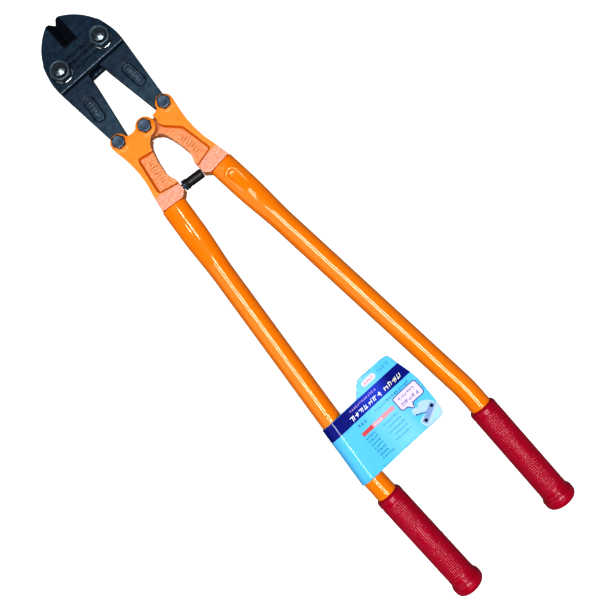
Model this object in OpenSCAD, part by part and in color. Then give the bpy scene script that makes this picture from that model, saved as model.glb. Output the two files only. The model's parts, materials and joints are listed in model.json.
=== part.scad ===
// Compound-lever bolt cutters, 750 mm class, closed, lying flat.
// The jaws point along +Y and the right handle is on the +X side. The origin is at the
// middle of the outline in X and Y, on the surface that the tool lies on.

/* [Overall] */
// Length from the jaw tips to the ends of the grips
overall_length = 765; // [750:1:780]

/* [Jaws] */
// Thickness of each forged jaw
jaw_thickness = 15; // [14:0.5:16]
// Distance of each jaw bolt from the midline
jaw_pivot_x = 28; // [27:0.5:29]
// Distance from the jaw bolts to the jaw tips
tip_reach = 54.5; // [53:0.5:56]
// Distance along Y from the jaw bolts to the handle pivots in the jaw tails
tail_reach = 95; // [94:0.5:97]
// Half width of the head at its widest
head_half_width = 45.6; // [45:0.1:47]
// Radius of the outer curve of the head
head_radius = 66; // [62:1:70]
// Width of the bevel along each cutting edge
bevel_width = 9; // [6:0.5:11]
// Thickness left along the cutting edge
edge_land = 1.6; // [1:0.1:3]
// Depth of the notch between the two tips
notch_depth = 4.5; // [3:0.5:6]
// Radius of the round end of each jaw tail
tail_radius = 10.2; // [9.5:0.1:10.4]

/* [Link plates] */
// Thickness of each link plate
plate_thickness = 8; // [6:0.5:9]
// Length of a link plate ahead of the jaw bolts
plate_front = 20; // [17:0.5:22]
// Length of a link plate behind the jaw bolts
plate_back = 16; // [15:0.5:18]
// How far the ends of the link plates stand inside the jaws' outline
plate_inset = 1.4; // [0:0.1:2]
// Gap between a jaw and each link plate or fork ear
side_gap = 0.1; // [0.05:0.05:0.2]

/* [Jaw bolts] */
// Diameter of the jaw bolts
jaw_bolt_d = 14; // [12:1:14]
// Width across the flats of the jaw bolt heads and nuts
jaw_hex = 21; // [20:1:24]
// Height of the jaw bolt heads
jaw_head_height = 6.4; // [6:0.1:8]
// Height of the jaw nuts
jaw_nut_height = 10; // [8:0.5:12]
// Thickness of the washers under the jaw nuts
washer_thickness = 1.6; // [1:0.1:2.5]
// Diameter of the washers under the jaw nuts
washer_d = 23; // [22:0.5:26]
// How far the jaw bolts stand out of their nuts
jaw_thread_end = 1.8; // [1.6:0.1:3]

/* [Handle pivots] */
// Distance of each outer handle pivot from the midline
outer_pivot_x = 32.5; // [32:0.5:33]
// How far the centre pivot lies behind the outer pivots
centre_setback = 5.5; // [5:0.5:6]
// Diameter of the three pivot bolts
pivot_bolt_d = 8; // [8:0.5:9]
// Width across the flats of the pivot bolt heads and nuts
pivot_hex = 13.5; // [13:0.5:16]
// Height of the pivot bolt heads
pivot_head_height = 6.5; // [5:0.5:8]
// Height of the pivot nuts
pivot_nut_height = 7.5; // [6:0.5:8]
// How far the pivot bolts stand out of their nuts
pivot_thread_end = 1.4; // [1:0.1:2]
// Radial running clearance of every pivot
running_clearance = 0.05; // [0.02:0.01:0.09]
// Radial play of the right jaw tail on its bolt, which takes up the linkage's slack
slack_play = 3.1; // [3:0.05:3.3]

/* [Handle heads] */
// Thickness of the cast handle heads
head_thickness = 24.4; // [24:0.1:25]
// Radius of the centre lug of each handle head
lug_radius = 11.2; // [10.5:0.1:11.4]
// Gap around the centre lug inside the pocket of the other handle head
pocket_gap = 2.8; // [0.6:0.1:3]
// Radius of the boss around each outer pivot
boss_radius = 10.4; // [10:0.1:11]
// Height of the flat pads under the pivot bolt heads and nuts
pad_rise = 0.9; // [0.2:0.1:1]
// Radius of the flat pads under the pivot bolt heads and nuts
pad_radius = 9.2; // [8.5:0.1:10]
// Radius of the fork slot that holds a jaw tail
slot_radius = 16.2; // [16.1:0.1:17]
// Depth of the recessed panels
panel_depth = 4.5; // [3:0.5:4.5]

/* [Tubes and grips] */
// Diameter of the handle tubes
tube_d = 25.2; // [24:0.1:26]
// Wall of the handle tubes
tube_wall = 2; // [1.5:0.1:2.5]
// How much wider than round the tube is where it meets its handle head
oval_extra = 4.4; // [2:0.2:5]
// How much thinner than round the tube is where it meets its handle head
oval_squeeze = 4.6; // [2:0.2:5]
// Angle of each tube to the midline
splay = 5.63; // [5:0.01:6]
// Angle by which each grip toes in towards the midline
toe_in = 0.7; // [0:0.1:1.5]
// Length of the straight part of the tube, up to its bend
straight_length = 356; // [350:1:360]
// How much shorter the right tube is than the left one
right_trim = 3; // [0:0.5:5]
// Bend radius of the tube
bend_radius = 180; // [150:5:220]
// Length of each grip
grip_length = 138; // [120:1:140]
// Diameter of each grip
grip_d = 31.6; // [30.5:0.1:33]
// Diameter of the flare at the end of each grip
flare_d = 36.2; // [34:0.1:37]
// Thickness of the closed end of each grip
grip_end = 7; // [5:0.5:9]

/* [Stop] */
// Diameter of the stop screw
stop_screw_d = 6; // [5:0.5:7]
// Diameter of the rubber bumper
bumper_d = 10.8; // [9:0.2:12]
// Distance from the left handle head to the nose of the bumper
bumper_nose = 27; // [24:0.5:27]
// Width across the flats of the stop's lock nut
lock_nut_hex = 11; // [10:0.5:11.5]
// Height of the stop's lock nut
lock_nut_height = 3.6; // [3:0.1:3.6]

/* [Sales card] */
// Thickness of the card
card_thickness = 0.6; // [0.4:0.1:1]
// Gap between the card's sleeve and the tube
card_gap = 0.7; // [0.6:0.1:1]

/* [Hidden] */
$fn = 96;
fit = 0.02;                     // radial gap of a bolt in its own body's parts
overcut = 1;                    // how far a cutting shape runs past a face
through = 60;                   // longer than any part is thick
curve_fn = 180;                 // facets of the long curve around the head
edge_gap = 0.02;                // gap from the midline to each cutting edge
left = [1, 0, 0];               // mirror axis that turns a right part into a left one
flip = [0, 0, 1];               // mirror axis that turns a part upside down

// Heights, from the surface the tool lies on
jaw_half = jaw_thickness / 2;
plate_in = jaw_half + side_gap;
plate_out = plate_in + plate_thickness;
mid_z = plate_out + jaw_head_height;
head_half = head_thickness / 2;

// Places along the tool
tip_y = overall_length / 2;
jaw_pivot_y = tip_y - tip_reach;
outer_pivot_y = jaw_pivot_y - tail_reach;
centre_pivot_y = outer_pivot_y - centre_setback;
head_curve_y = jaw_pivot_y - 5.8;
plate_back_y = jaw_pivot_y - plate_back;
heel_y = jaw_pivot_y + 1;
grip_end_y = -overall_length / 2;
collar_back = 82.5;              // from the centre pivot to the start of the tubes
tube_start = [34.6, centre_pivot_y - collar_back];

// Lengths along the tube, measured from its joint with the handle head
bend_angle = splay + toe_in;
bend_length = bend_radius * bend_angle * PI / 180;
grip_lead = (tube_start[1] - grip_end_y) - (straight_length * cos(splay));
right_straight = straight_length - right_trim;
tang_length = 55;
oval_length = 95;
oval_fade = 60;                  // length over which the tube turns from oval to round
ring_sides = 24;
bend_steps = 6;

// Where the stop's axis leaves the inner face of the left handle head
stop_start = [-13.7, centre_pivot_y - 73.2];
bumper_start = 5.3;
screw_reach = 14;

// Centre line of a tube on the +X side whose straight part is as long as given: its heading
// and its place at a length s along it
function heading(s, straight) = splay - bend_angle * min(1, max(0, (s - straight) / bend_length));
function along(start, angle, s) = start + s * [sin(angle), -cos(angle)];
function on_bend(angle, straight) = along(tube_start, splay, straight)
    + bend_radius * [cos(angle) - cos(splay), sin(angle) - sin(splay)];
function centre_at(s, straight) =
    s <= straight ? along(tube_start, splay, s) :
    s <= straight + bend_length ? on_bend(heading(s, straight), straight) :
    along(on_bend(-toe_in, straight), -toe_in, s - straight - bend_length);

// How oval the tube is: 1 at the handle head, fading to 0 where it is round
function smooth(t) = t * t * (3 - 2 * t);
function oval(s) = smooth(min(1, max(0, (oval_length - s) / oval_fade)));

function ring(s, inset, straight) = [
    for (i = [0 : ring_sides - 1])
    let (turn = 360 * i / ring_sides, h = heading(s, straight), c = centre_at(s, straight))
    let (across = (tube_d / 2 - inset + oval(s) * oval_extra / 2) * cos(turn))
    let (up = (tube_d / 2 - inset - oval(s) * oval_squeeze / 2) * sin(turn))
    [c[0] + across * cos(h), c[1] + across * sin(h), up]
];

// Hexagon with chamfered corners, standing on z = 0; bore 0 leaves it solid
module hex(flats, height, bore, bottom_chamfer = false) {
    corner = flats / 2 / cos(30);
    face_share = 0.95;
    chamfer_slope = 0.5;
    face = flats / 2 * face_share;
    drop = (corner - face) * chamfer_slope;
    low = bottom_chamfer ? face : corner;
    difference() {
        intersection() {
            cylinder(h = height, r = corner, $fn = 6);
            rotate_extrude()
            polygon([[0, 0], [low, 0], [corner, low < corner ? drop : 0],
                [corner, height - drop], [face, height], [0, height]]);
        }
        if (bore > 0) {
            translate([0, 0, -overcut])
            cylinder(h = height + 2 * overcut, r = bore);
        }
    }
}

// Round bar from z = 0 with a chamfered upper end
module bar(r, length, chamfer) {
    rotate_extrude()
    polygon([[0, 0], [r, 0], [r, length - chamfer], [r - chamfer, length], [0, length]]);
}

// Upright hole through whatever it is taken from
module drill(x, y, r) {
    translate([x, y, -through / 2])
    cylinder(h = through, r = r);
}

// ---- Head ----

module link_plate_outline() {
    for (side = [0, 1]) {
        mirror(side * left)
        intersection() {
            translate([head_half_width - head_radius, head_curve_y])
            circle(r = head_radius - plate_inset, $fn = curve_fn);
            translate([-overcut, plate_back_y])
            square([head_half_width + 2 * overcut, plate_front + plate_back]);
        }
    }
}

module link_plate() {
    color([0.12, 0.16, 0.22])
    difference() {
        linear_extrude(plate_thickness) link_plate_outline();
        for (x = [-jaw_pivot_x, jaw_pivot_x]) {
            drill(x, jaw_pivot_y, jaw_bolt_d / 2 + fit);
        }
    }
}

module top_link_plate() {
    translate([0, 0, mid_z + plate_in]) link_plate();
}

module bottom_link_plate() {
    translate([0, 0, mid_z - plate_out]) link_plate();
}

module jaw_bolt() {
    nut_top = mid_z + plate_out + washer_thickness + jaw_nut_height;
    chamfer = 1.6;
    color([0.25, 0.28, 0.32])
    translate([jaw_pivot_x, jaw_pivot_y, 0]) {
        translate([0, 0, jaw_head_height])
        mirror(flip) hex(jaw_hex, jaw_head_height, 0);
        bar(jaw_bolt_d / 2, nut_top + jaw_thread_end, chamfer);
    }
}

module left_jaw_bolt() {
    mirror(left) jaw_bolt();
}

module right_jaw_bolt() {
    jaw_bolt();
}

module jaw_nut() {
    color([0.32, 0.36, 0.4])
    translate([jaw_pivot_x, jaw_pivot_y, mid_z + plate_out + washer_thickness])
    hex(jaw_hex, jaw_nut_height, jaw_bolt_d / 2 + fit, true);
}

module left_jaw_nut() {
    mirror(left) jaw_nut();
}

module right_jaw_nut() {
    jaw_nut();
}

module jaw_nut_washers() {
    color([0.5, 0.53, 0.56])
    for (x = [-jaw_pivot_x, jaw_pivot_x]) {
        difference() {
            translate([x, jaw_pivot_y, mid_z + plate_out])
            cylinder(h = washer_thickness, d = washer_d);
            translate([0, 0, mid_z])
            drill(x, jaw_pivot_y, jaw_bolt_d / 2 + fit);
        }
    }
}

// ---- Jaws ----

module jaw_outline() {
    intersection() {
        translate([head_half_width - head_radius, head_curve_y])
        circle(r = head_radius, $fn = curve_fn);
        polygon([
            [edge_gap, heel_y], [edge_gap, tip_y - notch_depth], [notch_depth, tip_y],
            [50, tip_y], [50, plate_back_y], [edge_gap + 5, plate_back_y + 5]
        ]);
    }
    polygon([
        [edge_gap, heel_y], [2.5, jaw_pivot_y - 6], [6, jaw_pivot_y - 12],
        [9, jaw_pivot_y - 18.5], [10, jaw_pivot_y - 27],
        [20.7, outer_pivot_y + 5.5], [24.8, outer_pivot_y - 6],
        [38, outer_pivot_y - 6], [38.2, outer_pivot_y + 12],
        [head_half_width - 0.4, jaw_pivot_y - 14], [head_half_width - 0.4, head_curve_y]
    ]);
    translate([outer_pivot_x, outer_pivot_y])
    circle(r = tail_radius);
}

// Wedge that cuts the upper bevel of the right jaw, about the middle plane
module bevel_wedge() {
    run = tip_reach - plate_front + 2;
    translate([0, tip_y + overcut, 0])
    rotate([90, 0, 0])
    linear_extrude(run + overcut)
    polygon([
        [-overcut, edge_land / 2], [edge_gap, edge_land / 2],
        [bevel_width, jaw_half], [bevel_width, jaw_half + overcut],
        [-overcut, jaw_half + overcut]
    ]);
}

// Raised blank panel with round ends on both faces of the arm
module arm_panel() {
    place = [28.7, jaw_pivot_y - 48.5];
    tilt = 5.5;
    radius = 5.2;
    reach = 9.3;
    rise = 0.5;
    depth = jaw_thickness + 2 * rise;
    translate([place[0], place[1], -depth / 2])
    rotate([0, 0, tilt]) {
        translate([-radius, -reach, 0]) cube([2 * radius, 2 * reach, depth]);
        for (y = [-reach, reach]) {
            translate([0, y, 0]) cylinder(h = depth, r = radius);
        }
    }
}

module jaw(tail_bore) {
    color([0.13, 0.17, 0.24])
    translate([0, 0, mid_z])
    difference() {
        union() {
            translate([0, 0, -jaw_half])
            linear_extrude(jaw_thickness) jaw_outline();
            arm_panel();
        }
        bevel_wedge();
        mirror(flip) bevel_wedge();
        drill(jaw_pivot_x, jaw_pivot_y, jaw_bolt_d / 2 + running_clearance);
        drill(outer_pivot_x, outer_pivot_y, tail_bore);
    }
}

module left_jaw() {
    mirror(left) jaw(pivot_bolt_d / 2 + running_clearance);
}

module right_jaw() {
    jaw(pivot_bolt_d / 2 + slack_play);
}

// ---- Handle heads ----

// Where the collar's end is, square to the tube that starts there
function collar_end(x) = (x - tube_start[0]) * tan(splay) - collar_back;

// Outline of a handle head on the +X side, measured from the centre pivot
module handle_head_outline() {
    hollow = [15.6, 15.3];
    hollow_radius = 11;
    circle(r = lug_radius);
    translate([outer_pivot_x, centre_setback]) circle(r = boss_radius);
    difference() {
        polygon([
            [0, 8], [9.8, 4.9], [22.5, 8.6], [42.9, 5],
            [39.9, -14.6], [39.1, -24.4], [39.1, -36.3], [40.7, -50], [43.3, -59.9],
            [46.8, -76.6], [47.8, collar_end(47.8)], [20.3, collar_end(20.3)],
            [13.7, -78.6], [13.7, -63],
            [16, -57], [16.9, -51], [14.6, -36], [11.8, -25.5], [9.8, -19.6],
            [6.9, -15.6], [2, -12], [-4, -8]
        ]);
        translate(hollow) circle(r = hollow_radius);
    }
}

// Recess that opens to the inner edge on the face that carries the lug
module plain_panel_outline() {
    polygon([[-5, -27.5], [12.8, -24.5], [28.6, -21.5], [30.5, -24.5],
        [36.9, -60.9], [36.2, -63.9], [13.8, -69.3], [-5, -73]]);
}

// Recess on the other face, which runs up to the pocket for the opposite lug
module long_panel_outline() {
    polygon([[-5, -6], [12.8, -6.7], [15.8, -12.6], [26.6, -23], [30.2, -27],
        [36.9, -60.9], [36.2, -63.9], [13.8, -69.3], [-5, -73]]);
}

// Handle head on the +X side with its lug in the upper half, about the middle plane
module handle_head() {
    color([1, 0.52, 0.12])
    translate([0, centre_pivot_y, 0])
    difference() {
        union() {
            translate([0, 0, pad_rise - head_half])
            linear_extrude(head_thickness - 2 * pad_rise) handle_head_outline();
            for (place = [[0, 0], [outer_pivot_x, centre_setback]]) {
                translate([place[0], place[1], -head_half])
                cylinder(h = head_thickness, r = pad_radius);
            }
            tang();
        }
        translate([outer_pivot_x, centre_setback, -plate_in])
        cylinder(h = 2 * plate_in, r = slot_radius);
        translate([0, 0, -head_half - overcut])
        cylinder(h = head_half + overcut + side_gap / 2, r = lug_radius + pocket_gap);
        translate([0, 0, head_half - panel_depth])
        linear_extrude(panel_depth + overcut) plain_panel_outline();
        translate([0, 0, -head_half - overcut])
        linear_extrude(panel_depth + overcut) long_panel_outline();
        drill(0, 0, pivot_bolt_d / 2 + running_clearance);
        drill(outer_pivot_x, centre_setback, pivot_bolt_d / 2 + running_clearance);
    }
}

// Flat-sided plug that carries the tube
module tang() {
    spread = 4.9;
    radius = 6;
    root = 4;
    translate([tube_start[0], tube_start[1] - centre_pivot_y, 0])
    rotate([90, 0, splay])
    translate([0, 0, -root]) {
        for (x = [-spread, spread]) {
            translate([x, 0, 0]) cylinder(h = tang_length, r = radius);
        }
        translate([-spread, -radius, 0])
        cube([2 * spread, 2 * radius, tang_length]);
    }
}

// Axis of the stop screw: from the inner face of the left head, square to the left tube
module on_stop_axis() {
    translate([stop_start[0], stop_start[1], mid_z])
    rotate([0, 90, -splay])
    children();
}

module left_handle_head() {
    hole_depth = 12;
    difference() {
        translate([0, 0, mid_z]) mirror(left) handle_head();
        on_stop_axis()
        translate([0, 0, -hole_depth])
        cylinder(h = hole_depth + 2 * overcut, d = stop_screw_d + 2 * fit);
    }
}

module right_handle_head() {
    translate([0, 0, mid_z]) mirror(flip) handle_head();
}

// ---- Pivot bolts and nuts ----

// Bolt with its head on the upper face and its thread end below the nut
module pivot_bolt(x, y) {
    reach = head_thickness + side_gap + pivot_nut_height + pivot_thread_end;
    chamfer = 1;
    color([0.36, 0.44, 0.52])
    translate([x, y, mid_z + head_half]) {
        hex(pivot_hex, pivot_head_height, 0);
        mirror(flip) bar(pivot_bolt_d / 2, reach, chamfer);
    }
}

module pivot_nut(x, y) {
    color([0.4, 0.44, 0.48])
    translate([x, y, mid_z - head_half - side_gap])
    mirror(flip) hex(pivot_hex, pivot_nut_height, pivot_bolt_d / 2 + fit, true);
}

module left_pivot_bolt() {
    pivot_bolt(-outer_pivot_x, outer_pivot_y);
}

module right_pivot_bolt() {
    pivot_bolt(outer_pivot_x, outer_pivot_y);
}

module centre_pivot_bolt() {
    pivot_bolt(0, centre_pivot_y);
}

module left_pivot_nut() {
    pivot_nut(-outer_pivot_x, outer_pivot_y);
}

module right_pivot_nut() {
    pivot_nut(outer_pivot_x, outer_pivot_y);
}

module centre_pivot_nut() {
    pivot_nut(0, centre_pivot_y);
}

// ---- Tubes and grips ----

// Solid swept along the tube's centre line through the given stations
module tube_core(stations, inset, straight) {
    rings = len(stations);
    points = [for (s = stations) each ring(s, inset, straight)];
    walls = [
        for (j = [0 : rings - 2])
        for (i = [0 : ring_sides - 1])
        let (a = j * ring_sides + i, b = j * ring_sides + (i + 1) % ring_sides)
        [a, a + ring_sides, b + ring_sides, b]
    ];
    first = [for (i = [0 : ring_sides - 1]) i];
    last = [for (i = [ring_sides - 1 : -1 : 0]) (rings - 1) * ring_sides + i];
    polyhedron(concat(points), concat(walls, [first, last]), convexity = 4);
}

module tube(straight) {
    end = straight + grip_lead - grip_end;
    middle = concat(
        [for (s = [oval_length - oval_fade : 10 : oval_length]) s],
        [for (i = [0 : bend_steps]) straight + i * bend_length / bend_steps]
    );
    color([1, 0.47, 0.02])
    translate([0, 0, mid_z])
    difference() {
        tube_core(concat([0.05], middle, [end]), 0, straight);
        tube_core(concat([-overcut], middle, [end + overcut]), tube_wall, straight);
    }
}

module left_tube() {
    mirror(left) tube(straight_length);
}

module right_tube() {
    tube(right_straight);
}

module grip(straight) {
    seat = tube_d / 2 + fit;
    bottom = grip_length - grip_end + 0.1;
    shoulder = 3;
    rim_round = 2.2;
    end_round = 7;
    flare_at = grip_length - 8;
    flare_start = grip_length - 17;
    origin = centre_at(straight + grip_lead - grip_length, straight);
    color([0.66, 0.02, 0.14])
    translate([origin[0], origin[1], mid_z])
    rotate([90, 0, -toe_in])
    rotate_extrude()
    polygon([
        [seat, 0], [grip_d / 2 - shoulder / 2, 0], [grip_d / 2, shoulder],
        [grip_d / 2, flare_start], [flare_d / 2 - 0.7, flare_at - 3], [flare_d / 2, flare_at],
        [flare_d / 2 - rim_round, grip_length - 3], [flare_d / 2 - end_round, grip_length],
        [0, grip_length], [0, bottom], [seat, bottom]
    ]);
}

module left_grip() {
    mirror(left) grip(straight_length);
}

module right_grip() {
    grip(right_straight);
}

// ---- Stop between the handle heads ----

module stop_screw() {
    sunk = 11;
    chamfer = 0.8;
    color([0.3, 0.33, 0.36])
    on_stop_axis()
    translate([0, 0, -sunk]) bar(stop_screw_d / 2, sunk + screw_reach, chamfer);
}

module stop_lock_nut() {
    color([0.35, 0.43, 0.5])
    on_stop_axis()
    translate([0, 0, bumper_start - 0.1 - lock_nut_height])
    hex(lock_nut_hex, lock_nut_height, stop_screw_d / 2 + fit);
}

// Rubber sleeve whose nose meets the right handle head
module stop_bumper() {
    start = bumper_start;
    nose = bumper_nose;
    screw_end = screw_reach + 0.1;
    color([0.05, 0.05, 0.06])
    on_stop_axis()
    rotate_extrude()
    polygon([
        [stop_screw_d / 2 + fit, start], [bumper_d / 2 + 0.8, start],
        [bumper_d / 2, start + 4], [bumper_d / 2, nose - 1.5],
        [bumper_d / 2 - 0.8, nose], [0, nose],
        [0, screw_end], [stop_screw_d / 2 + fit, screw_end]
    ]);
}

// ---- Sales card: a sleeve around the left tube with a flat flap towards the right ----

module card_outline() {
    polygon([
        [-90, -145.5], [-27.5, -144], [-14.8, -130.8], [-9, -128.3], [24.6, -128.3],
        [30.5, -131.7], [32.5, -142.5], [36.4, -159.3], [37.9, -171], [37.4, -189],
        [35.9, -210.5], [33.5, -215.5], [28, -217], [-90, -220]
    ]);
}

module sales_card() {
    inner = tube_d / 2 + card_gap;
    outer = inner + card_thickness;
    flap_reach = 130;
    tube_reach = 400;
    color([0.42, 0.8, 0.98])
    intersection() {
        translate([-tube_start[0], tube_start[1], mid_z])
        rotate([90, 0, -splay])
        linear_extrude(tube_reach)
        union() {
            difference() {
                circle(r = outer);
                circle(r = inner);
            }
            translate([0, inner]) square([flap_reach, card_thickness]);
        }
        linear_extrude(through) card_outline();
    }
}

top_link_plate();
bottom_link_plate();
left_jaw_bolt();
right_jaw_bolt();
left_jaw_nut();
right_jaw_nut();
jaw_nut_washers();
left_jaw();
right_jaw();
left_handle_head();
right_handle_head();
left_pivot_bolt();
right_pivot_bolt();
centre_pivot_bolt();
left_pivot_nut();
right_pivot_nut();
centre_pivot_nut();
left_tube();
right_tube();
left_grip();
right_grip();
stop_screw();
stop_lock_nut();
stop_bumper();
sales_card();
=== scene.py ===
"""Looks of the compound-lever bolt cutters: rounded forgings and castings, round tubes, soft
grips, turned fasteners and a printed sales card, each riding on its CAD body."""

import json
import math
import bmesh
import bpy
import numpy as np
from mathutils import Matrix, Vector


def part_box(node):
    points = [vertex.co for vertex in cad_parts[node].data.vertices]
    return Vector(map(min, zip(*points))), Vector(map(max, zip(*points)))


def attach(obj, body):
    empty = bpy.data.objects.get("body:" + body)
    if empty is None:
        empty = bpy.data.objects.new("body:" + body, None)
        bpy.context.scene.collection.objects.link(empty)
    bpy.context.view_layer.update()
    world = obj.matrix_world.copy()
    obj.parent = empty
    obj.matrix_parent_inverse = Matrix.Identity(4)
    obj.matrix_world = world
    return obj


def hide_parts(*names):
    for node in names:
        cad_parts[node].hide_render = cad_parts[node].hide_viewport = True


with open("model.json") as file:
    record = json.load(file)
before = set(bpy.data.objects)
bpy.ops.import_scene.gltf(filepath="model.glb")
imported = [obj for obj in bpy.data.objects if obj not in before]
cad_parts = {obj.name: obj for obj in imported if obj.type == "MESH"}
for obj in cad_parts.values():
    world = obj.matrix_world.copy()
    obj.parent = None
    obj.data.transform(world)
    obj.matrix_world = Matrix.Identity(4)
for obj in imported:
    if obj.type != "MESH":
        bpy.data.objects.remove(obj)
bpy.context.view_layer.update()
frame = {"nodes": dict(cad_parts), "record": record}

MM = 0.001

# ---- Driving sizes, in millimetres, the same as in the CAD model ----
TUBE_R = 12.6
TUBE_WALL = 2.0
OVAL_EXTRA = 2.2
OVAL_SQUEEZE = 2.3
OVAL_LENGTH = 95.0
SPLAY = math.radians(5.63)
TOE_IN = math.radians(0.7)
STRAIGHT = 356.0
BEND_RADIUS = 180.0
TUBE_START_X = 34.6
RIGHT_TRIM = 3.0
GRIP_LENGTH = 138.0
GRIP_R = 15.8
GRIP_CAP = 7.0          # thickness of the grip's closed end
FLARE_R = 18.1
JAW_HEX = 21.0
JAW_BOLT_R = 7.0
JAW_HEAD = 6.4
JAW_NUT = 10.0
WASHER_R = 11.5
PIVOT_HEX = 13.5
PIVOT_BOLT_R = 4.0
PIVOT_HEAD = 6.5
PIVOT_NUT = 7.5
CARD_GAP = 0.7


def middle(node):
    """Centre of a CAD node's box, in millimetres."""
    low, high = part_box(node)
    return (low + high) / 2 / MM


MID_Z = middle("left_jaw").z
JAW_PIVOT = middle("right_jaw_bolt").xy
OUTER_PIVOT = middle("right_pivot_bolt").xy
CENTRE_PIVOT = middle("centre_pivot_bolt").xy
TUBE_START_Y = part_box("right_tube")[1].y / MM - (TUBE_R + OVAL_EXTRA) * math.sin(SPLAY)
GRIP_END_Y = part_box("left_grip")[0].y / MM
BEND_LENGTH = BEND_RADIUS * (SPLAY + TOE_IN)
GRIP_LEAD = TUBE_START_Y - GRIP_END_Y - STRAIGHT * math.cos(SPLAY)


# ---- Mesh building ----

def make_object(name, verts, faces, smooth=True):
    mesh = bpy.data.meshes.new(name)
    mesh.from_pydata([tuple(v) for v in np.asarray(verts, float) * MM], [], faces)
    work = bmesh.new()
    work.from_mesh(mesh)
    bmesh.ops.remove_doubles(work, verts=work.verts, dist=1e-7)
    bmesh.ops.dissolve_degenerate(work, edges=work.edges, dist=1e-8)
    bmesh.ops.recalc_face_normals(work, faces=work.faces)
    for face in work.faces:
        face.smooth = smooth
    work.to_mesh(mesh)
    work.free()
    piece = bpy.data.objects.new(name, mesh)
    bpy.context.scene.collection.objects.link(piece)
    return piece


def grid_faces(rows, cols, close_rows, close_cols):
    faces = []
    for i in range(rows if close_rows else rows - 1):
        for j in range(cols if close_cols else cols - 1):
            i2, j2 = (i + 1) % rows, (j + 1) % cols
            faces.append((i * cols + j, i2 * cols + j, i2 * cols + j2, i * cols + j2))
    return faces


def grid_object(name, points, close_rows=False, close_cols=True):
    """Mesh over a grid of points, rows by columns by 3."""
    rows, cols, _ = points.shape
    return make_object(name, points.reshape(-1, 3), grid_faces(rows, cols, close_rows, close_cols))


def turned(name, profile, centre, sides=96, closed=True, up=1):
    """Mesh of revolution about +Z. profile(angle) gives points (radius, height); up -1 turns it over."""
    angles = [2 * math.pi * k / sides for k in range(sides)]
    cols = [profile(a) for a in angles]
    points = np.array([
        [(centre[0] + r * math.cos(a), centre[1] + r * math.sin(a), centre[2] + up * z)
         for a, (r, z) in zip(angles, row)]
        for row in zip(*cols)
    ])
    return grid_object(name, points, close_rows=closed)


def apply_modifiers(piece):
    bpy.context.view_layer.update()
    evaluated = piece.evaluated_get(bpy.context.evaluated_depsgraph_get())
    mesh = bpy.data.meshes.new_from_object(evaluated)
    piece.modifiers.clear()
    piece.data = mesh
    for face in mesh.polygons:
        face.use_smooth = True


def read_points(mesh, normals=False):
    """Vertex places in millimetres, or vertex normals, as an array."""
    source = mesh.vertex_normals if normals else mesh.vertices
    flat = np.empty(len(mesh.vertices) * 3)
    source.foreach_get("vector" if normals else "co", flat)
    return flat.reshape(-1, 3) / (1 if normals else MM)


def rounded_copy(node, voxel, passes, reshape=None, firm=None, wave=0.0, wave_size=20.0,
                 emboss=None, mark=None):
    """Copy of a CAD solid with its edges rounded as a forging's or casting's are. reshape moves
    its points first, firm gives how much of the rounding each point takes, emboss raises marks
    on the rounded surface, and mark is kept for the material as the attribute "mark"."""
    piece = bpy.data.objects.new(node + "_finish", frame["nodes"][node].data.copy())
    bpy.context.scene.collection.objects.link(piece)
    weld = piece.modifiers.new("weld", "WELD")
    weld.merge_threshold = 1e-6
    remesh = piece.modifiers.new("remesh", "REMESH")
    remesh.mode = "VOXEL"
    remesh.voxel_size = voxel * MM
    apply_modifiers(piece)
    mesh = piece.data
    points = read_points(mesh)
    if reshape:
        points = points + reshape(points, read_points(mesh, normals=True))
        mesh.vertices.foreach_set("co", (points * MM).ravel())
        mesh.update()
    group = piece.vertex_groups.new(name="soft")
    weights = firm(points) if firm else np.ones(len(points))
    for level in np.unique(weights.round(1)):
        members = np.nonzero(weights.round(1) == level)[0]
        group.add([int(i) for i in members], float(level), "REPLACE")
    soften = piece.modifiers.new("soften", "SMOOTH")
    soften.factor = 0.5
    soften.iterations = passes
    soften.vertex_group = group.name
    if wave:
        clouds = bpy.data.textures.new(node + "_wave", "CLOUDS")
        clouds.noise_scale = wave_size * MM
        push = piece.modifiers.new("wave", "DISPLACE")
        push.texture = clouds
        push.texture_coords = "LOCAL"
        push.strength = wave * MM
        push.mid_level = 0.75
        push.vertex_group = group.name
    apply_modifiers(piece)
    mesh = piece.data
    points, normals = read_points(mesh), read_points(mesh, normals=True)
    if mark:
        kept = mesh.attributes.new("mark", "FLOAT", "POINT")
        kept.data.foreach_set("value", mark(points, normals))
    if emboss:
        points = points + normals * emboss(points, normals)[:, None]
        mesh.vertices.foreach_set("co", (points * MM).ravel())
        mesh.update()
    return piece


def install(piece, node, material):
    """piece stands for the CAD node and rides on its body."""
    for body, members in frame["record"]["behaviour"]["bodies"].items():
        if node in members:
            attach(piece, body)
    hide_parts(node)
    piece.data.materials.clear()
    piece.data.materials.append(material)
    return piece


# ---- Material building ----

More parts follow.
